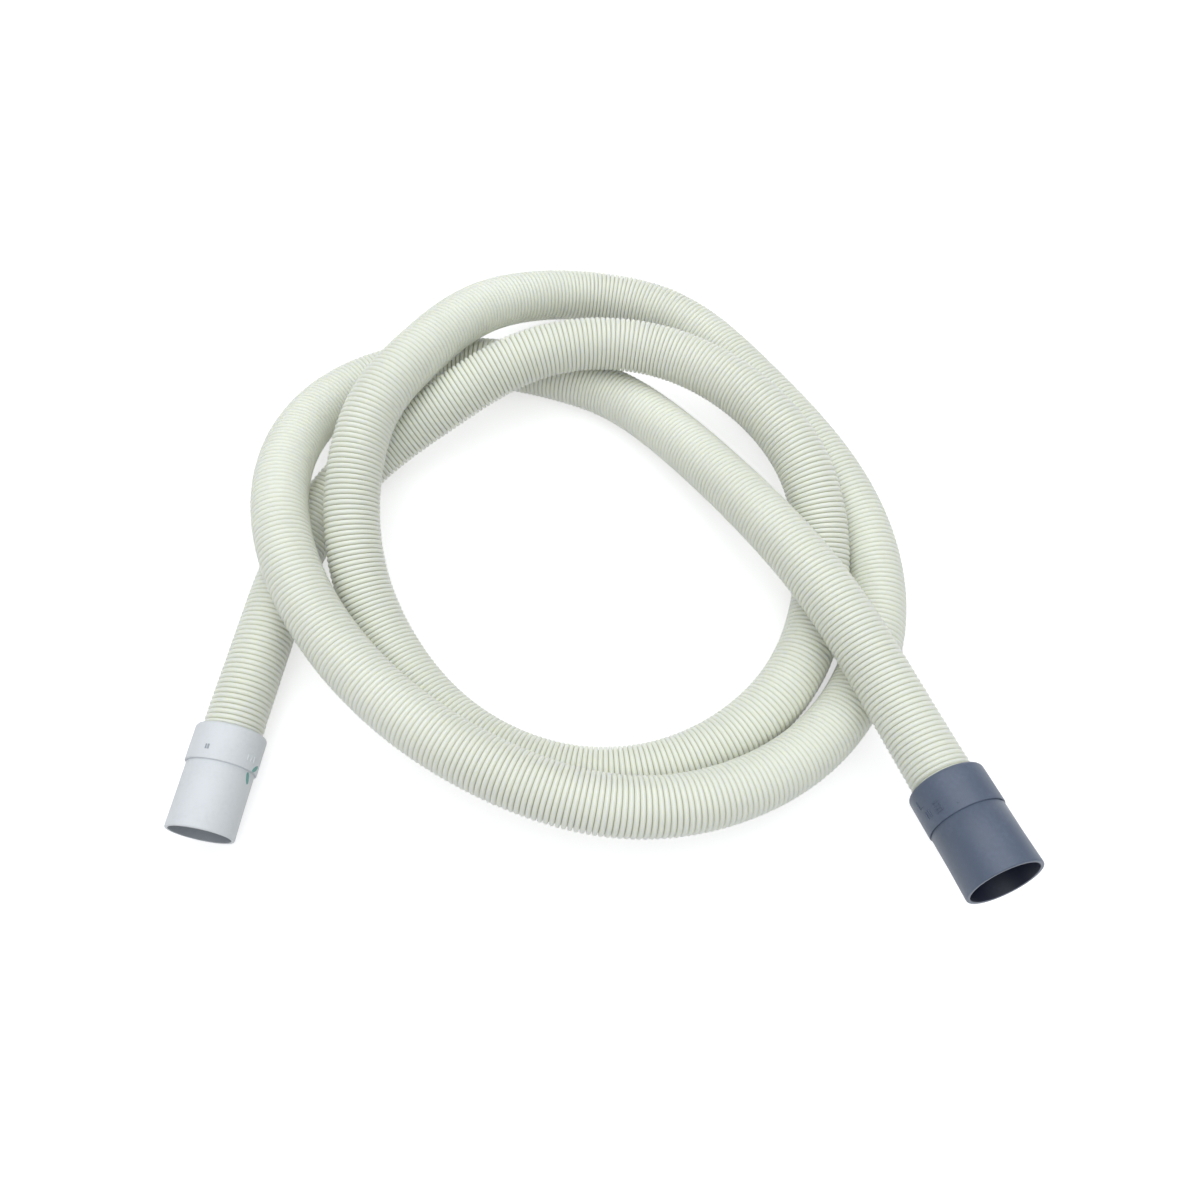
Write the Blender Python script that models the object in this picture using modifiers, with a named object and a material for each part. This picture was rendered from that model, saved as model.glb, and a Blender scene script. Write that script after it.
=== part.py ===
# Dishwasher drain hose, laid in two loose turns on a flat surface.
#
# Three moulded pieces that never come apart in use: one long blown hose and a
# rubber cuff pressed over each of its ends. Nothing in it is jointed.
# Units are metres, +Z is up, and the origin is on the surface under the middle
# of the coil. +X runs to the right of somebody who stands in front of the two
# cuffs and +Y runs away from them.

import math

import bmesh
import bpy
import numpy as np
from mathutils import Vector

MM = 0.001

# Hose
HOSE_DIAMETER = 24.0 * MM
TUBE_STEPS = 78
TUBE_BEVEL_RESOLUTION = 4

# Light grey cuff, for the machine's outlet
LIGHT_LENGTH = 42.0 * MM
LIGHT_COLLAR_LENGTH = 15.4 * MM
LIGHT_COLLAR_WALL = 1.8 * MM
LIGHT_BODY_DIAMETER = 26.6 * MM
LIGHT_BODY_WALL = 1.3 * MM
LIGHT_STOP_BORE = 19.0 * MM

# Dark grey cuff, for the waste pipe
DARK_LENGTH = 40.6 * MM
DARK_COLLAR_LENGTH = 16.0 * MM
DARK_COLLAR_WALL = 2.5 * MM
DARK_BODY_DIAMETER = 28.8 * MM
DARK_BODY_WALL = 1.3 * MM
DARK_STOP_BORE = 19.0 * MM

# Shared by both cuffs
STOP_THICKNESS = 2.0 * MM
SHOULDER_RADIUS = 1.6 * MM
SHOULDER_STEPS = 4
RIM_CHAMFER = 0.3 * MM
SEAT_CLEARANCE = 0.3 * MM
TURNED_STEPS = 48

# Lay of the hose, from the face of the light cuff to the face of the dark one.
# Chosen by hand, in millimetres: x, y and the height of the centre line.
ROUTE_MM = [
    (-148, -61, 14.5), (-141, -17, 14.2), (-133, 25, 12.3), (-110, 66, 15), (-72, 93, 27),
    (-28, 115, 37), (22, 119, 35), (64, 94, 35), (91, 52, 30), (95, 5, 15),
    (77, -40, 12), (38, -71, 12), (-10, -78, 12), (-56, -59, 12), (-89, -22, 15),
    (-105, 21, 30), (-101, 70, 45), (-81, 109, 44.5), (-53, 149, 31), (-8, 170, 15),
    (38, 158, 12), (73, 120, 12), (101, 78, 12), (118, 33, 12), (117, -16, 12),
    (93, -60, 15), (53, -88, 24), (6, -96, 31), (-42, -82, 34), (-84, -54, 34),
    (-117, -16, 36), (-135, 29, 38), (-135, 79, 26), (-111, 118, 13), (-63, 130, 12),
    (-15, 120, 12), (25, 92, 17), (74, 21, 35), (103, -33, 39), (126, -91, 43),
]

# The way that each cuff's mouth looks
LIGHT_MOUTH_WAY = Vector((-6.4, -41.1, -0.8)).normalized()
DARK_MOUTH_WAY = Vector((12.8, -37.2, 7.9)).normalized()

# The point of the lay that the origin is put under
LAY_CENTRE_MM = (-7.5, 23.95)

# Colours, linear
IVORY = (0.745, 0.800, 0.680, 1.0)
LIGHT_GREY = (0.665, 0.707, 0.760, 1.0)
SLATE_GREY = (0.120, 0.143, 0.190, 1.0)


def clear_scene():
    for old in list(bpy.data.objects):
        bpy.data.objects.remove(old, do_unlink=True)


def new_material(name, colour, roughness):
    material = bpy.data.materials.new(name)
    material.use_nodes = True
    shader = material.node_tree.nodes["Principled BSDF"]
    shader.inputs["Base Color"].default_value = colour
    shader.inputs["Roughness"].default_value = roughness
    shader.inputs["Metallic"].default_value = 0.0
    return material


def route_points():
    """The hand-chosen points, in metres, with the origin under the lay's centre."""
    shift = np.array([LAY_CENTRE_MM[0], LAY_CENTRE_MM[1], 0.0])
    return (np.array(ROUTE_MM, dtype=float) - shift) * MM


def smooth_curve(points, first_way, last_way, per_span=40):
    """A curve with even bending through the points, which starts and ends along the given ways."""
    count = len(points)
    system = 4.0 * np.eye(count) + np.eye(count, k=1) + np.eye(count, k=-1)
    right = np.zeros((count, 3))
    right[1:-1] = 3.0 * (points[2:] - points[:-2])
    for row, way, span in ((0, first_way, points[1] - points[0]), (-1, last_way, points[-1] - points[-2])):
        system[row] = 0.0
        system[row, row] = 1.0
        right[row] = np.array(way) * np.linalg.norm(span)
    slopes = np.linalg.solve(system, right)
    curve = []
    for start in range(count - 1):
        for step in range(per_span):
            t = step / per_span
            curve.append(
                (2 * t**3 - 3 * t**2 + 1) * points[start]
                + (t**3 - 2 * t**2 + t) * slopes[start]
                + (3 * t**2 - 2 * t**3) * points[start + 1]
                + (t**3 - t**2) * slopes[start + 1]
            )
    curve.append(points[-1])
    return np.array(curve)


def evenly_spaced(curve, count):
    """The same curve as a number of points that lie at equal steps along it."""
    steps = np.linalg.norm(np.diff(curve, axis=0), axis=1)
    along = np.concatenate(([0.0], np.cumsum(steps)))
    wanted = np.linspace(0.0, along[-1], count)
    return np.stack([np.interp(wanted, along, curve[:, axis]) for axis in range(3)], axis=1)


def hose_path():
    """The hose's centre line, with a straight run at each end down to the cuff's stop."""
    points = route_points()
    laid = smooth_curve(points, -LIGHT_MOUTH_WAY, DARK_MOUTH_WAY)
    laid = evenly_spaced(laid, TUBE_STEPS)
    laid[:, 2] = np.maximum(laid[:, 2], HOSE_DIAMETER / 2)
    first_end = points[0] + np.array(LIGHT_MOUTH_WAY) * seat_depth(LIGHT_COLLAR_LENGTH)
    last_end = points[-1] + np.array(DARK_MOUTH_WAY) * seat_depth(DARK_COLLAR_LENGTH)
    return np.vstack([first_end, laid, last_end])


def seat_depth(collar_length):
    """How far the hose goes into a collar before it meets the stop."""
    return collar_length - STOP_THICKNESS - SEAT_CLEARANCE


def make_hose(collection, material):
    path = hose_path()
    data = bpy.data.curves.new("corrugated_hose", "CURVE")
    data.dimensions = "3D"
    data.bevel_depth = HOSE_DIAMETER / 2
    data.bevel_resolution = TUBE_BEVEL_RESOLUTION
    data.use_fill_caps = True
    spline = data.splines.new("POLY")
    spline.points.add(len(path) - 1)
    for point, place in zip(spline.points, path):
        point.co = (*place, 1.0)
    hose = bpy.data.objects.new("corrugated_hose", data)
    collection.objects.link(hose)
    data.materials.append(material)
    return hose


def cuff_profile(length, collar_length, collar_wall, body_radius, body_wall, stop_radius):
    """Radius and height of a cuff's section: down the outside, over the rim and up the inside."""
    seat_radius = HOSE_DIAMETER / 2 + SEAT_CLEARANCE
    collar_radius = seat_radius + collar_wall
    socket_radius = body_radius - body_wall
    shoulder_radius = min(SHOULDER_RADIUS, 0.9 * collar_wall)
    section = []
    for step in range(SHOULDER_STEPS + 1):
        turn = math.radians(90.0 * step / SHOULDER_STEPS)
        section.append((
            collar_radius - shoulder_radius * (1.0 - math.sin(turn)),
            -shoulder_radius * (1.0 - math.cos(turn)),
        ))
    section += [
        (collar_radius, -collar_length),
        (body_radius, -collar_length - RIM_CHAMFER),
        (body_radius, -length + RIM_CHAMFER),
        (body_radius - RIM_CHAMFER, -length),
        (socket_radius + RIM_CHAMFER, -length),
        (socket_radius, -length + RIM_CHAMFER),
        (socket_radius, -collar_length),
        (stop_radius, -collar_length),
        (stop_radius, -collar_length + STOP_THICKNESS),
        (seat_radius, -collar_length + STOP_THICKNESS),
        (seat_radius, 0.0),
    ]
    return section


def make_cuff(name, section, face_centre, mouth_way, collection, material):
    """A turned cuff. Its own height axis runs from the mouth up to the face that the hose enters."""
    mesh = bpy.data.meshes.new(name)
    outline = bmesh.new()
    corners = [outline.verts.new((radius, 0.0, height)) for radius, height in section]
    for start, corner in enumerate(corners):
        outline.edges.new((corner, corners[(start + 1) % len(corners)]))
    outline.to_mesh(mesh)
    outline.free()
    cuff = bpy.data.objects.new(name, mesh)
    collection.objects.link(cuff)
    turn = cuff.modifiers.new("turned", "SCREW")
    turn.axis = "Z"
    turn.angle = math.tau
    turn.steps = TURNED_STEPS
    turn.render_steps = TURNED_STEPS
    turn.use_merge_vertices = True
    turn.merge_threshold = 0.00005
    turn.use_smooth_shade = True
    cuff.location = face_centre
    cuff.rotation_mode = "QUATERNION"
    cuff.rotation_quaternion = mouth_way.to_track_quat("-Z", "Y")
    mesh.materials.append(material)
    return cuff


def build():
    clear_scene()
    collection = bpy.data.collections.new("dishwasher_drain_hose")
    bpy.context.scene.collection.children.link(collection)

    ivory = new_material("ivory_polypropylene", IVORY, 0.38)
    light_grey = new_material("light_grey_rubber", LIGHT_GREY, 0.55)
    slate_grey = new_material("slate_grey_rubber", SLATE_GREY, 0.5)

    points = route_points()
    make_hose(collection, ivory)
    light_section = cuff_profile(
        LIGHT_LENGTH, LIGHT_COLLAR_LENGTH, LIGHT_COLLAR_WALL,
        LIGHT_BODY_DIAMETER / 2, LIGHT_BODY_WALL, LIGHT_STOP_BORE / 2,
    )
    make_cuff("light_grey_cuff", light_section, points[0], LIGHT_MOUTH_WAY, collection, light_grey)
    dark_section = cuff_profile(
        DARK_LENGTH, DARK_COLLAR_LENGTH, DARK_COLLAR_WALL,
        DARK_BODY_DIAMETER / 2, DARK_BODY_WALL, DARK_STOP_BORE / 2,
    )
    make_cuff("dark_grey_cuff", dark_section, points[-1], DARK_MOUTH_WAY, collection, slate_grey)


build()
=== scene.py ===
# The dressed look of a dishwasher drain hose that lies in two loose turns.
# The ivory hose is modelled ring by ring, and each end wears a moulded rubber cuff.

import math

import bpy
import numpy as np
from mathutils import Matrix, Vector


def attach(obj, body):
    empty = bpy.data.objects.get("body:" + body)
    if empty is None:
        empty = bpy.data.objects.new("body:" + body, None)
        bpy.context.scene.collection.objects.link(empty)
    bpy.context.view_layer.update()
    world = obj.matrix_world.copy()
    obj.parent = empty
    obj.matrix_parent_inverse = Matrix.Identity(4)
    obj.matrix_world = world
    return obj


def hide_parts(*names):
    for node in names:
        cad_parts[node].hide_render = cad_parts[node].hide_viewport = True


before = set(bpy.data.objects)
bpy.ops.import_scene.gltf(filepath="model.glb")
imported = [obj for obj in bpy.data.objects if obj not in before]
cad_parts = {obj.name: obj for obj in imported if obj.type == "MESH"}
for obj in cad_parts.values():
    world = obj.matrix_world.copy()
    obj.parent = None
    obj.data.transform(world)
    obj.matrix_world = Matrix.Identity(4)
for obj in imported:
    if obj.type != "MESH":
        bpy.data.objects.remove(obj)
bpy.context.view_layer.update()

MM = 0.001

# Hose, blown in rings. The ring section gives shares of the pitch and of the ridge's height.
HOSE_DIAMETER = 24.0 * MM
HOSE_BORE = 19.0 * MM
GROOVE_DIAMETER = 20.6 * MM
RING_PITCH = 2.15 * MM
RING_SIDES = 24
RING_SECTION = ((0.0, 0.0), (0.15, 0.82), (0.50, 1.0), (0.85, 0.82))
RING_WOBBLE = 0.05 * MM
BORE_STEP = 8.0 * MM
BORE_CREST = 0.5
CORD_POINTS = 500

# Cuffs: the same driving sizes as the solids, and the widening that shows at the mouth
LIGHT_CUFF_SIZES = {
    "length": 42.0 * MM, "collar": 15.4 * MM, "collar_wall": 1.8 * MM,
    "body_diameter": 26.6 * MM, "body_wall": 1.3 * MM, "mouth_flare": 0.1 * MM,
}
DARK_CUFF_SIZES = {
    "length": 40.6 * MM, "collar": 16.0 * MM, "collar_wall": 2.5 * MM,
    "body_diameter": 28.8 * MM, "body_wall": 1.3 * MM, "mouth_flare": 0.25 * MM,
}
STOP_THICKNESS = 2.0 * MM
STOP_RADIUS = 9.5 * MM
SEAT_CLEARANCE = 0.3 * MM
SHOULDER_RADIUS = 1.7 * MM
SHOULDER_STEPS = 6
LIP_DEPTH = 2.0 * MM
FLARE_START = 0.7
TURNED_STEPS = 128
MERGE_DISTANCE = 0.005 * MM
SMOOTH_ANGLE = 40.0

# A cuff's softened edges, in millimetres outward and upward from the sharp corner
COLLAR_LIP_MM = ((-0.25, -1.0), (-0.1, -0.25), (0.1, 0.0))
COLLAR_END_MM = ((0.0, 0.4), (-0.05, 0.15), (-0.2, 0.0))
BODY_ROOT_MM = ((-0.25, 0.05), (-0.25, -0.2), (0.0, -0.5))
MOUTH_OUTSIDE_MM = ((0.0, 0.8), (-0.05, 0.3), (-0.2, 0.07), (-0.4, 0.0))
MOUTH_INSIDE_MM = ((0.4, 0.0), (0.12, 0.1), (0.0, 0.4))
SOCKET_END_MM = ((0.0, -0.2), (-0.2, 0.0))
STOP_EDGE_MM = ((0.3, 0.0), (0.0, 0.3))

# Marks on the cuffs. A bar is its angle in degrees from the top, then its depth below the
# collar's face, width and length in mm. A stroke runs between two pairs of angle and depth.
BAR_HEIGHT = 0.5 * MM
BAR_ROUNDING = 0.08 * MM
INK_THICKNESS = 0.06 * MM
INK_LIFT = 0.01 * MM
INK_CUTS = 10
LIGHT_BARS = ((-60, 11.0, 0.4, 2.4), (-67, 11.0, 0.4, 2.4), (-74, 11.0, 0.4, 2.4))
GATE_MARK = ((11, 10.8, 0.5, 1.9), (7, 10.8, 0.7, 1.9))
DARK_BARS = (
    (44, 11.0, 0.3, 3.8), (54, 11.0, 0.3, 3.8), (49, 9.2, 2.8, 0.3), (49, 12.8, 2.8, 0.3),
    (49, 10.4, 1.6, 0.3), (49, 11.6, 1.6, 0.3),
    (64, 11.0, 0.3, 3.0), (68, 11.0, 0.3, 3.0), (72, 11.0, 0.3, 3.0),
    (79, 6.0, 0.3, 3.4), (74, 7.4, 1.2, 0.3), (22, 13.4, 0.6, 0.6),
)
INK_STROKES = {
    "ink_stroke_upper": ((-92, 12.4), (-78, 15.2)),
    "ink_stroke_lower": ((-72, 16.2), (-80, 20.4)),
}
INK_WIDTH_MM = 1.8

# Lay of the hose between the cuffs' faces, in millimetres, as in the solids
ROUTE_MM = [
    (-148, -61, 14.5), (-141, -17, 14.2), (-133, 25, 12.3), (-110, 66, 15), (-72, 93, 27),
    (-28, 115, 37), (22, 119, 35), (64, 94, 35), (91, 52, 30), (95, 5, 15),
    (77, -40, 12), (38, -71, 12), (-10, -78, 12), (-56, -59, 12), (-89, -22, 15),
    (-105, 21, 30), (-101, 70, 45), (-81, 109, 44.5), (-53, 149, 31), (-8, 170, 15),
    (38, 158, 12), (73, 120, 12), (101, 78, 12), (118, 33, 12), (117, -16, 12),
    (93, -60, 15), (53, -88, 24), (6, -96, 31), (-42, -82, 34), (-84, -54, 34),
    (-117, -16, 36), (-135, 29, 38), (-135, 79, 26), (-111, 118, 13), (-63, 130, 12),
    (-15, 120, 12), (25, 92, 17), (74, 21, 35), (103, -33, 39), (126, -91, 43),
]
LIGHT_MOUTH_WAY = Vector((-6.4, -41.1, -0.8)).normalized()
DARK_MOUTH_WAY = Vector((12.8, -37.2, 7.9)).normalized()
LAY_CENTRE_MM = (-7.5, 23.95)

# Camera: 63 degrees above the floor, 31.5 mm lens on a 36 mm sensor
CAMERA_ELEVATION = 63.0
CAMERA_PLACE_MM = (7.5, -229.55, 415.5)
LENS_MM = 31.5
SENSOR_MM = 36.0

# Noise scales, in waves for each metre
WALL_DRIFT_SCALE = 20.0
PLASTIC_SKIN_SCALE = 2000.0
RUBBER_CLOUD_SCALE = 80.0
RUBBER_SPECK_SCALE = 650.0
MOULD_GRAIN_SCALE = 2800.0
INK_STREAK_SCALE = 900.0
SKIN_DEPTH = 0.2 * MM

# Stage and light: lamps are name, side in metres, watts and place in metres
FLOOR_RADIUS = 5.0
FLOOR_COLOUR = (0.66, 0.66, 0.66, 1.0)
FLOOR_GLOW = 0.6
ROOM_COLOUR = (0.95, 0.98, 1.0, 1.0)
ROOM_LEVEL_LOW = 0.22
ROOM_LEVEL_HIGH = 0.75
WHITE = (1.0, 1.0, 1.0, 1.0)
LAMP_COLOUR = (0.955, 0.98, 1.0)
SOFTBOXES = (
    ("overhead_softbox", 1.5, 8.5, (-0.1, 0.35, 1.15)),
    ("front_softbox", 0.9, 2.5, (0.05, -0.75, 1.05)),
)

rng = np.random.default_rng(7)


# Small tools

def linear(hex_colour):
    """An sRGB hex colour as the linear values that the shaders take."""
    channels = [int(hex_colour[i:i + 2], 16) / 255 for i in (1, 3, 5)]
    return tuple(c / 12.92 if c <= 0.04045 else ((c + 0.055) / 1.055) ** 2.4 for c in channels) + (1.0,)


def add_node(tree, kind, settings=None, **inputs):
    """Adds a node, sets its properties, and sets or links its sockets by name or by _number."""
    node = tree.nodes.new(kind)
    for name, value in (settings or {}).items():
        setattr(node, name, value)
    for name, value in inputs.items():
        key = int(name[1:]) if name[0] == "_" and name[1:].isdigit() else name.replace("_", " ")
        socket = node.inputs[key]
        if isinstance(value, bpy.types.NodeSocket):
            tree.links.new(value, socket)
        else:
            socket.default_value = value
    return node


def new_material(name):
    material = bpy.data.materials.new(name)
    material.use_nodes = True
    material.node_tree.nodes.clear()
    return material, material.node_tree


def finish_material(tree, shader):
    output = tree.nodes.new("ShaderNodeOutputMaterial")
    tree.links.new(shader, output.inputs["Surface"])


def ramp_stops(ramp, stops):
    """Gives a colour ramp its stops, as pairs of place and hex colour."""
    elements = ramp.color_ramp.elements
    while len(elements) < len(stops):
        elements.new(0.5)
    for element, (place, hex_colour) in zip(elements, stops):
        element.position = place
        element.color = linear(hex_colour)


def select_only(piece):
    bpy.ops.object.select_all(action="DESELECT")
    piece.select_set(True)
    bpy.context.view_layer.objects.active = piece


def face_outward(piece):
    """Turns every face of a closed piece outward."""
    select_only(piece)
    bpy.ops.object.mode_set(mode="EDIT")
    bpy.ops.mesh.select_all(action="SELECT")
    bpy.ops.mesh.normals_make_consistent(inside=False)
    bpy.ops.object.mode_set(mode="OBJECT")


def give_material(piece, *materials):
    piece.data.materials.clear()
    for material in materials:
        piece.data.materials.append(material)


# Materials

def blown_polypropylene():
    """Milky blown polypropylene: pale and satin on the ridges, with a painted olive shade in the grooves."""
    material, tree = new_material("blown_polypropylene_ivory")
    crest = add_node(tree, "ShaderNodeAttribute", {"attribute_name": "crest"})
    place = add_node(tree, "ShaderNodeTexCoord").outputs["Object"]
    # Wall thickness drifts over about 50 mm, as the blown tube stretches
    drift = add_node(tree, "ShaderNodeTexNoise", {}, Vector=place, Scale=WALL_DRIFT_SCALE, Detail=2.0)
    # The ramp darkens the colour from crest to groove: painted shade in the grooves
    colour = add_node(tree, "ShaderNodeValToRGB", {}, Fac=crest.outputs["Fac"])
    ramp_stops(colour, ((0.0, "#AFB28A"), (0.3, "#D0D2B8"), (0.75, "#EBEDE0"), (1.0, "#EDEFE4")))
    shade = add_node(tree, "ShaderNodeMapRange", {}, Value=drift.outputs["Fac"],
                     From_Min=0.3, From_Max=0.7, To_Min=0.96, To_Max=1.02)
    tinted = add_node(tree, "ShaderNodeMix", {"data_type": "RGBA", "blend_type": "MULTIPLY"},
                      _0=1.0, _6=colour.outputs["Color"], _7=shade.outputs["Result"])
    # Skin of the plastic, about 0.5 mm, drawn coarser than it is so that it shows
    skin = add_node(tree, "ShaderNodeTexNoise", {}, Vector=place, Scale=PLASTIC_SKIN_SCALE, Detail=2.0)
    bump = add_node(tree, "ShaderNodeBump", {}, Strength=0.06, Distance=SKIN_DEPTH,
                    Height=skin.outputs["Fac"])
    shader = add_node(tree, "ShaderNodeBsdfPrincipled", {"subsurface_method": "RANDOM_WALK"},
                      Base_Color=tinted.outputs["Result"], Roughness=0.36, IOR=1.49,
                      Subsurface_Weight=0.45, Subsurface_Radius=(1.0, 0.98, 0.65),
                      Subsurface_Scale=0.0018, Normal=bump.outputs["Normal"])
    finish_material(tree, shader.outputs["BSDF"])
    return material


def moulded_rubber(name, base, worn, roughness, grain_bump):
    """Moulded soft rubber: an even matt skin, with faint clouding and handling marks."""
    material, tree = new_material(name)
    place = add_node(tree, "ShaderNodeTexCoord").outputs["Object"]
    # Clouding of about 12 mm, and rubbed specks of about 1.5 mm
    cloud = add_node(tree, "ShaderNodeTexNoise", {}, Vector=place, Scale=RUBBER_CLOUD_SCALE,
                     Detail=4.0, Roughness=0.6)
    speck = add_node(tree, "ShaderNodeTexNoise", {}, Vector=place, Scale=RUBBER_SPECK_SCALE, Detail=3.0)
    mixed = add_node(tree, "ShaderNodeMath", {"operation": "MULTIPLY"},
                     _0=cloud.outputs["Fac"], _1=speck.outputs["Fac"])
    amount = add_node(tree, "ShaderNodeMapRange", {}, Value=mixed.outputs["Value"],
                      From_Min=0.22, From_Max=0.42, To_Min=0.0, To_Max=1.0)
    colour = add_node(tree, "ShaderNodeMix", {"data_type": "RGBA"}, _0=amount.outputs["Result"],
                      _6=linear(base), _7=linear(worn))
    gloss = add_node(tree, "ShaderNodeMapRange", {}, Value=cloud.outputs["Fac"],
                     From_Min=0.3, From_Max=0.7, To_Min=roughness - 0.06, To_Max=roughness + 0.06)
    # Spark-eroded mould skin, about 0.35 mm from grain to grain
    grain = add_node(tree, "ShaderNodeTexNoise", {}, Vector=place, Scale=MOULD_GRAIN_SCALE, Detail=2.0)
    bump = add_node(tree, "ShaderNodeBump", {}, Strength=grain_bump, Distance=SKIN_DEPTH,
                    Height=grain.outputs["Fac"])
    shader = add_node(tree, "ShaderNodeBsdfPrincipled", {}, Base_Color=colour.outputs["Result"],
                      Roughness=gloss.outputs["Result"], IOR=1.5, Normal=bump.outputs["Normal"])
    finish_material(tree, shader.outputs["BSDF"])
    return material


def marker_ink():
    """Teal marker ink on rubber: thin and a little uneven."""
    material, tree = new_material("marker_ink_teal")
    place = add_node(tree, "ShaderNodeTexCoord").outputs["Object"]
    streak = add_node(tree, "ShaderNodeTexNoise", {}, Vector=place, Scale=INK_STREAK_SCALE, Detail=3.0)
    colour = add_node(tree, "ShaderNodeMix", {"data_type": "RGBA"}, _0=streak.outputs["Fac"],
                      _6=linear("#3E8A84"), _7=linear("#86B7B2"))
    shader = add_node(tree, "ShaderNodeBsdfPrincipled", {},
                      Base_Color=colour.outputs["Result"], Roughness=0.5)
    finish_material(tree, shader.outputs["BSDF"])
    return material


# Route

def route_points():
    """The given points, in metres, with the origin under the lay's centre."""
    shift = np.array([LAY_CENTRE_MM[0], LAY_CENTRE_MM[1], 0.0])
    return (np.array(ROUTE_MM, dtype=float) - shift) * MM


def smooth_curve(points, first_way, last_way, per_span=50):
    """A curve with even bending through the points, which starts and ends along the given ways."""
    count = len(points)
    system = 4.0 * np.eye(count) + np.eye(count, k=1) + np.eye(count, k=-1)
    right = np.zeros((count, 3))
    right[1:-1] = 3.0 * (points[2:] - points[:-2])
    ends = ((0, first_way, points[1] - points[0]), (-1, last_way, points[-1] - points[-2]))
    for row, way, span in ends:
        system[row] = 0.0
        system[row, row] = 1.0
        right[row] = np.array(way) * np.linalg.norm(span)
    slopes = np.linalg.solve(system, right)
    curve = []
    for start in range(count - 1):
        for step in range(per_span):
            t = step / per_span
            curve.append(
                (2 * t**3 - 3 * t**2 + 1) * points[start]
                + (t**3 - 2 * t**2 + t) * slopes[start]
                + (3 * t**2 - 2 * t**3) * points[start + 1]
                + (t**3 - t**2) * slopes[start + 1]
            )
    curve.append(points[-1])
    return np.array(curve)


def seat_depth(collar_length):
    """How far the hose goes into a collar before it meets the stop."""
    return collar_length - STOP_THICKNESS - SEAT_CLEARANCE


def hose_line():
    """The centre line from one stop to the other, and how far along it each point lies."""
    points = route_points()
    laid = smooth_curve(points, -LIGHT_MOUTH_WAY, DARK_MOUTH_WAY)
    laid[:, 2] = np.maximum(laid[:, 2], HOSE_DIAMETER / 2)
    first_end = points[0] + np.array(LIGHT_MOUTH_WAY) * seat_depth(LIGHT_CUFF_SIZES["collar"])
    last_end = points[-1] + np.array(DARK_MOUTH_WAY) * seat_depth(DARK_CUFF_SIZES["collar"])
    line = np.vstack([first_end, laid, last_end])
    along = np.concatenate(([0.0], np.cumsum(np.linalg.norm(np.diff(line, axis=0), axis=1))))
    return line, along


# Hose

def place_along(line, along, wanted):
    """The points of the line that lie at the wanted distances along it."""
    return np.stack([np.interp(wanted, along, line[:, axis]) for axis in range(3)], axis=1)


def carried_frames(centres):
    """Two directions across the line at each centre, carried along it without twist."""
    ways = np.gradient(centres, axis=0)
    ways /= np.linalg.norm(ways, axis=1)[:, None]
    across = np.zeros_like(ways)
    first = np.cross(ways[0], (0.0, 0.0, 1.0))
    across[0] = first / np.linalg.norm(first)
    for i in range(1, len(ways)):
        carried = across[i - 1] - ways[i] * np.dot(across[i - 1], ways[i])
        across[i] = carried / np.linalg.norm(carried)
    return across, np.cross(ways, across)


def tube_rings(centres, radii):
    """The corners of a tube, one ring of RING_SIDES for each centre."""
    across, over = carried_frames(centres)
    turn = (np.arange(RING_SIDES) * (math.tau / RING_SIDES))[None, :, None]
    wheel = np.cos(turn) * across[:, None, :] + np.sin(turn) * over[:, None, :]
    return (centres[:, None, :] + wheel * radii[:, None, None]).reshape(-1, 3)


def strip_faces(ring_a, ring_b):
    """Quads between two rings, each given by the number of its first corner."""
    faces = []
    for side in range(RING_SIDES):
        following = (side + 1) % RING_SIDES
        faces.append((ring_a + side, ring_b + side, ring_b + following, ring_a + following))
    return faces


def ring_profile(length):
    """Places along the hose and the ridges' share of height at each, from groove to groove."""
    ring_count = int(length / RING_PITCH)
    pitch = length / ring_count
    places = []
    heights = []
    for ring in range(ring_count):
        for share, height in RING_SECTION:
            places.append((ring + share) * pitch)
            heights.append(height)
    places.append(length)
    heights.append(0.0)
    # Each ring comes out of its mould a little low, by its own amount
    lows = rng.normal(0.0, RING_WOBBLE / 2, ring_count + 1)
    lows = np.repeat(lows, len(RING_SECTION))[:len(places)]
    lows = np.clip(lows, -RING_WOBBLE, 0.0)
    return np.array(places), np.array(heights), lows


def make_hose(material):
    """The corrugated skin with its smooth bore, the points of its path, and its length."""
    line, along = hose_line()
    length = float(along[-1])
    places, heights, lows = ring_profile(length)
    groove = GROOVE_DIAMETER / 2
    outer_radii = groove + (HOSE_DIAMETER / 2 - groove + lows) * heights
    outer = tube_rings(place_along(line, along, places), outer_radii)

    bore_places = np.linspace(0.0, length, int(length / BORE_STEP) + 1)
    bore_radii = np.full(len(bore_places), HOSE_BORE / 2)
    inner = tube_rings(place_along(line, along, bore_places), bore_radii)

    last_outer = (len(places) - 1) * RING_SIDES
    first_inner = len(outer)
    last_inner = first_inner + (len(bore_places) - 1) * RING_SIDES
    faces = []
    for ring in range(0, last_outer, RING_SIDES):
        faces += strip_faces(ring, ring + RING_SIDES)
    for ring in range(first_inner, last_inner, RING_SIDES):
        faces += strip_faces(ring + RING_SIDES, ring)
    faces += strip_faces(first_inner, 0)
    faces += strip_faces(last_outer, last_inner)

    mesh = bpy.data.meshes.new("corrugated_hose_skin")
    mesh.from_pydata(np.vstack([outer, inner]).tolist(), [], faces)
    mesh.update()
    hose = bpy.data.objects.new("corrugated_hose_skin", mesh)
    bpy.context.scene.collection.objects.link(hose)
    face_outward(hose)
    bpy.ops.object.shade_smooth()
    # The ridges' height, which the material turns into painted shade in the grooves
    crest = mesh.attributes.new("crest", "FLOAT", "POINT")
    crest_values = np.append(np.repeat(heights, RING_SIDES), np.full(len(inner), BORE_CREST))
    crest.data.foreach_set("value", crest_values)
    give_material(hose, material)
    path = place_along(line, along, np.linspace(0.0, length, CORD_POINTS))
    return hose, path, length


# Cuffs

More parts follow.
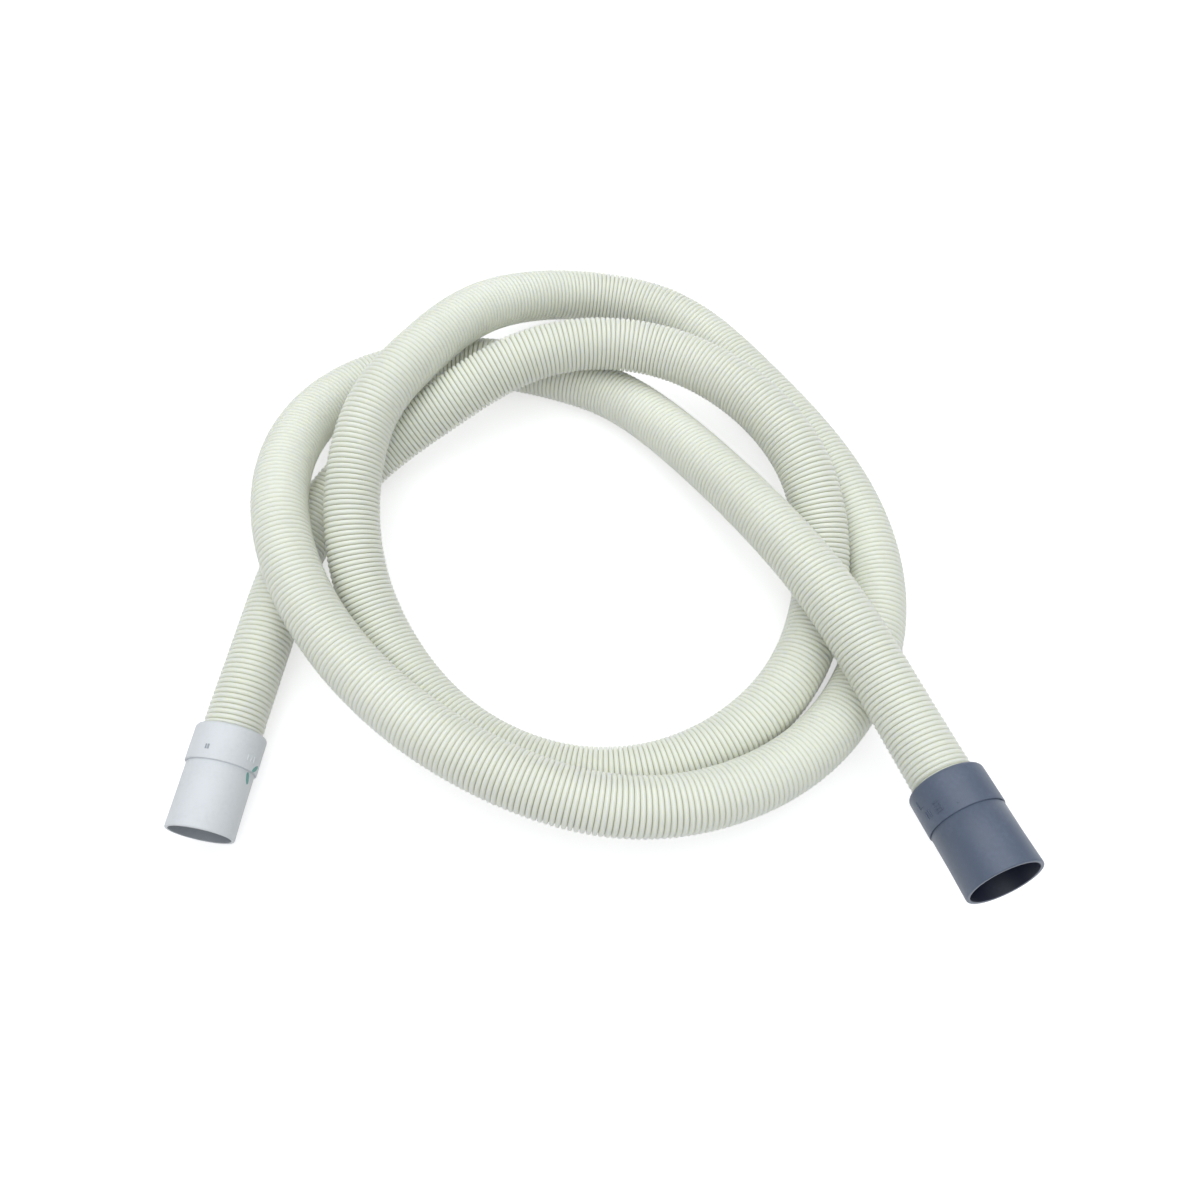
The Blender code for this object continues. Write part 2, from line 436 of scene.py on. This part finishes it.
def cuff_radii(sizes):
    """Radii of a cuff's collar, body and socket, worked out from its driving sizes."""
    collar_radius = HOSE_DIAMETER / 2 + SEAT_CLEARANCE + sizes["collar_wall"]
    body_radius = sizes["body_diameter"] / 2
    return collar_radius, body_radius, body_radius - sizes["body_wall"]


def softened_edge(radius, height, offsets_mm):
    """The points that stand in for a sharp corner of a section."""
    return [(radius + outward * MM, height + upward * MM) for outward, upward in offsets_mm]


def cuff_section(sizes):
    """Radius and height of a cuff's wall: lip, shoulder, outside, mouth, socket, stop and seat."""
    collar_end = -sizes["collar"]
    mouth = -sizes["length"]
    collar_radius, body_radius, socket_radius = cuff_radii(sizes)
    mouth_radius = body_radius + sizes["mouth_flare"]
    seat_radius = HOSE_DIAMETER / 2 + SEAT_CLEARANCE
    section = softened_edge(HOSE_DIAMETER / 2, 0.0, COLLAR_LIP_MM)
    for step in range(SHOULDER_STEPS + 1):
        turn = math.radians(90.0 * step / SHOULDER_STEPS)
        section.append((
            collar_radius - SHOULDER_RADIUS * (1.0 - math.sin(turn)),
            -SHOULDER_RADIUS * (1.0 - math.cos(turn)),
        ))
    section += softened_edge(collar_radius, collar_end, COLLAR_END_MM)
    section += softened_edge(body_radius, collar_end, BODY_ROOT_MM)
    section.append((body_radius, mouth * FLARE_START))
    section += softened_edge(mouth_radius, mouth, MOUTH_OUTSIDE_MM)
    section += softened_edge(socket_radius, mouth, MOUTH_INSIDE_MM)
    section += softened_edge(socket_radius, collar_end, SOCKET_END_MM)
    section += softened_edge(STOP_RADIUS, collar_end, STOP_EDGE_MM)
    section.append((STOP_RADIUS, collar_end + STOP_THICKNESS))
    section.append((seat_radius, collar_end + STOP_THICKNESS))
    section.append((seat_radius, -LIP_DEPTH))
    return section


def cuff_matrix(face_centre, mouth_way):
    return Matrix.Translation(face_centre) @ mouth_way.to_track_quat("-Z", "Y").to_matrix().to_4x4()


def make_cuff(name, sizes, face_centre, mouth_way, material, bore_painted_shade_material):
    """A section drawn point by point and spun into a cuff, with its bore in a darker material of its own as
    painted shade.
    """
    section = cuff_section(sizes)
    bpy.ops.object.select_all(action="DESELECT")
    bpy.ops.mesh.primitive_plane_add(size=1.0 * MM, location=(0, 0, 0))
    piece = bpy.context.object
    piece.name = name
    bpy.ops.object.mode_set(mode="EDIT")
    bpy.ops.mesh.select_all(action="SELECT")
    bpy.ops.mesh.merge(type="CENTER")
    bpy.ops.transform.translate(value=(section[0][0], 0.0, section[0][1]))
    for (r0, z0), (r1, z1) in zip(section, section[1:] + section[:1]):
        bpy.ops.mesh.extrude_vertices_move(TRANSFORM_OT_translate={"value": (r1 - r0, 0.0, z1 - z0)})
    bpy.ops.mesh.select_all(action="SELECT")
    bpy.ops.mesh.remove_doubles(threshold=MERGE_DISTANCE)
    bpy.ops.mesh.select_all(action="SELECT")
    bpy.ops.mesh.spin(steps=TURNED_STEPS, angle=math.tau, center=(0, 0, 0), axis=(0, 0, 1))
    bpy.ops.mesh.select_all(action="SELECT")
    bpy.ops.mesh.remove_doubles(threshold=MERGE_DISTANCE)
    bpy.ops.mesh.normals_make_consistent(inside=False)
    bpy.ops.object.mode_set(mode="OBJECT")
    give_material(piece, material, bore_painted_shade_material)
    # Faces inside the bore take the darker material: painted shade inside the cuff
    bore_radius = cuff_radii(sizes)[2] + 0.1 * MM
    for face in piece.data.polygons:
        face.material_index = 1 if math.hypot(face.center.x, face.center.y) < bore_radius else 0
    piece.matrix_world = cuff_matrix(face_centre, mouth_way)
    select_only(piece)
    bpy.ops.object.transform_apply(location=True, rotation=True, scale=True)
    bpy.ops.object.shade_smooth_by_angle(angle=math.radians(SMOOTH_ANGLE))
    return piece


def cuff_surface(sizes, face_centre, mouth_way, angle, depth, lift):
    """A point on a cuff's outside and the three directions there: round, along and out."""
    collar_radius, body_radius, _ = cuff_radii(sizes)
    radius = collar_radius if depth < sizes["collar"] else body_radius
    up = (Vector((0, 0, 1)) - mouth_way * mouth_way.z).normalized()
    side = mouth_way.cross(up).normalized()
    turn = math.radians(angle)
    out = up * math.cos(turn) + side * math.sin(turn)
    place = Vector(face_centre) + mouth_way * depth + out * (radius + lift)
    return place, mouth_way.cross(out).normalized(), mouth_way.copy(), out


def raised_bars(name, sizes, face_centre, mouth_way, bars, material):
    """Low moulded bars, half sunk in a collar: angle in degrees, then depth, width and length in mm."""
    parts = []
    for angle, depth, width, length in bars:
        spot = cuff_surface(sizes, face_centre, mouth_way, angle, depth * MM, 0.0)
        place, round_way, along_way, out = spot
        bpy.ops.object.select_all(action="DESELECT")
        bpy.ops.mesh.primitive_cube_add(size=1.0, location=(0, 0, 0))
        bar = bpy.context.object
        bar.scale = (width * MM, length * MM, BAR_HEIGHT)
        bpy.ops.object.transform_apply(location=False, rotation=False, scale=True)
        softened = bar.modifiers.new("softened", "BEVEL")
        softened.width = BAR_ROUNDING
        softened.segments = 2
        bpy.ops.object.modifier_apply(modifier=softened.name)
        turned = Matrix((round_way, along_way, out)).transposed().to_4x4()
        bar.matrix_world = Matrix.Translation(place) @ turned
        parts.append(bar)
    bpy.ops.object.select_all(action="DESELECT")
    for bar in parts:
        bar.select_set(True)
    bpy.context.view_layer.objects.active = parts[0]
    bpy.ops.object.join()
    piece = bpy.context.object
    piece.name = name
    select_only(piece)
    bpy.ops.object.transform_apply(location=True, rotation=True, scale=True)
    face_outward(piece)
    give_material(piece, material)
    return piece


def ink_stroke(name, sizes, face_centre, mouth_way, start, end, material):
    """A thin closed strip of ink wrapped on a cuff, from one angle and depth in mm to another."""
    bpy.ops.object.select_all(action="DESELECT")
    bpy.ops.mesh.primitive_cube_add(size=1.0, location=(0, 0, 0))
    piece = bpy.context.object
    piece.name = name
    bpy.ops.object.mode_set(mode="EDIT")
    bpy.ops.mesh.select_all(action="SELECT")
    bpy.ops.mesh.subdivide(number_cuts=INK_CUTS)
    bpy.ops.object.mode_set(mode="OBJECT")
    radius = cuff_radii(sizes)[1]
    run_round = math.radians(end[0] - start[0]) * radius / MM
    run_along = end[1] - start[1]
    run = math.hypot(run_round, run_along)
    for corner in piece.data.vertices:
        share = corner.co.y + 0.5
        # The stroke narrows to half its width at its ends, at right angles to its run
        aside = corner.co.x * INK_WIDTH_MM * (1.0 - 0.5 * abs(2 * share - 1) ** 2) / run
        turned = math.degrees(-aside * run_along * MM / radius)
        angle = start[0] + (end[0] - start[0]) * share + turned
        depth = (start[1] + run_along * share + aside * run_round) * MM
        lift = (0.5 + corner.co.z) * INK_THICKNESS + INK_LIFT
        corner.co = cuff_surface(sizes, face_centre, mouth_way, angle, depth, lift)[0]
    face_outward(piece)
    give_material(piece, material)
    return piece


# Stage

def make_stage():
    """A pale floor that keeps a soft shadow and reads white to the camera."""
    bpy.ops.object.select_all(action="DESELECT")
    bpy.ops.mesh.primitive_circle_add(vertices=96, radius=FLOOR_RADIUS, fill_type="NGON", location=(0, 0, 0))
    floor = bpy.context.object
    floor.name = "studio_floor"
    material, tree = new_material("studio_white")
    rays = add_node(tree, "ShaderNodeLightPath")
    seen = add_node(tree, "ShaderNodeMath", {"operation": "MAXIMUM"},
                    _0=rays.outputs["Is Camera Ray"], _1=rays.outputs["Is Glossy Ray"])
    seen = add_node(tree, "ShaderNodeMath", {"operation": "MAXIMUM"},
                    _0=seen.outputs["Value"], _1=rays.outputs["Is Transmission Ray"])
    glow = add_node(tree, "ShaderNodeMath", {"operation": "MULTIPLY"},
                    _0=seen.outputs["Value"], _1=FLOOR_GLOW)
    shader = add_node(tree, "ShaderNodeBsdfPrincipled", {}, Base_Color=FLOOR_COLOUR, Roughness=0.9,
                      Emission_Color=WHITE, Emission_Strength=glow.outputs["Value"])
    finish_material(tree, shader.outputs["BSDF"])
    give_material(floor, material)


def make_light():
    """Two softboxes, the stronger one overhead and behind, in a pale room that is lighter above."""
    world = bpy.data.worlds.new("white_room")
    bpy.context.scene.world = world
    world.use_nodes = True
    tree = world.node_tree
    tree.nodes.clear()
    rays = add_node(tree, "ShaderNodeLightPath")
    direction = add_node(tree, "ShaderNodeTexCoord")
    height = add_node(tree, "ShaderNodeSeparateXYZ", {}, Vector=direction.outputs["Generated"])
    level = add_node(tree, "ShaderNodeMapRange", {}, Value=height.outputs["Z"],
                     From_Min=0.0, From_Max=1.0, To_Min=ROOM_LEVEL_LOW, To_Max=ROOM_LEVEL_HIGH)
    room = add_node(tree, "ShaderNodeBackground", {}, Color=ROOM_COLOUR, Strength=level.outputs["Result"])
    seen_room = add_node(tree, "ShaderNodeBackground", {}, Color=WHITE, Strength=1.0)
    mixed = add_node(tree, "ShaderNodeMixShader", {}, _0=rays.outputs["Is Camera Ray"],
                     _1=room.outputs["Background"], _2=seen_room.outputs["Background"])
    output = tree.nodes.new("ShaderNodeOutputWorld")
    tree.links.new(mixed.outputs["Shader"], output.inputs["Surface"])

    for name, size, watts, place in SOFTBOXES:
        lamp_data = bpy.data.lights.new(name, "AREA")
        lamp_data.shape = "SQUARE"
        lamp_data.size = size
        lamp_data.energy = watts
        lamp_data.color = LAMP_COLOUR
        lamp = bpy.data.objects.new(name, lamp_data)
        bpy.context.scene.collection.objects.link(lamp)
        lamp.location = place
        lamp.rotation_euler = (-lamp.location).to_track_quat("-Z", "Y").to_euler()


def make_camera():
    data = bpy.data.cameras.new("photo_camera")
    data.lens = LENS_MM
    data.sensor_width = SENSOR_MM
    camera = bpy.data.objects.new("photo_camera", data)
    bpy.context.scene.collection.objects.link(camera)
    camera.location = [value * MM for value in CAMERA_PLACE_MM]
    camera.rotation_euler = (math.radians(90.0 - CAMERA_ELEVATION), 0.0, 0.0)
    bpy.context.scene.camera = camera


make_camera()
make_light()
make_stage()
bpy.context.scene.view_settings.view_transform = "Standard"

ivory = blown_polypropylene()
light_grey = moulded_rubber("moulded_rubber_light_grey", "#DCDFE2", "#D8DBDE", 0.5, 0.05)
slate_grey = moulded_rubber("moulded_rubber_slate_grey", "#5A6578", "#606B7F", 0.42, 0.06)
# The core of the mould leaves the insides duller; their darker colours are painted shade, as little light
# comes back out of them
light_bore_painted_shade = moulded_rubber("bore_rubber_light_grey_painted_shade", "#9A9FA6", "#94999F", 0.6, 0.03)
slate_bore_painted_shade = moulded_rubber("bore_rubber_slate_grey_painted_shade", "#161C30", "#1B2238", 0.45, 0.03)
# Rougher rubber where the gate was broken off, its darker grey painted shade of the small nick
gate_rough_painted_shade = moulded_rubber("gate_rubber_rough_painted_shade", "#A3A9AF", "#969CA2", 0.6, 0.08)
ink = marker_ink()

route = route_points()
light_place = (LIGHT_CUFF_SIZES, Vector(route[0]), LIGHT_MOUTH_WAY)
dark_place = (DARK_CUFF_SIZES, Vector(route[-1]), DARK_MOUTH_WAY)

light_cuff = make_cuff("light_grey_cuff_moulding", *light_place, light_grey, light_bore_painted_shade)
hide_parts("light_grey_cuff")
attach(light_cuff, "root")

dark_cuff = make_cuff("dark_grey_cuff_moulding", *dark_place, slate_grey, slate_bore_painted_shade)
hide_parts("dark_grey_cuff")
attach(dark_cuff, "root")

light_bars = raised_bars("light_collar_bars", *light_place, LIGHT_BARS, light_grey)
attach(light_bars, "root")

gate_mark = raised_bars("light_collar_gate_mark", *light_place, GATE_MARK, gate_rough_painted_shade)
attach(gate_mark, "root")

dark_bars = raised_bars("dark_collar_bars", *dark_place, DARK_BARS, slate_grey)
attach(dark_bars, "root")

for stroke_name, (start, end) in INK_STROKES.items():
    stroke = ink_stroke(stroke_name, *light_place, start, end, ink)
    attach(stroke, "root")

hose, hose_path, hose_length = make_hose(ivory)
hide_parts("corrugated_hose")
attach(hose, "root")
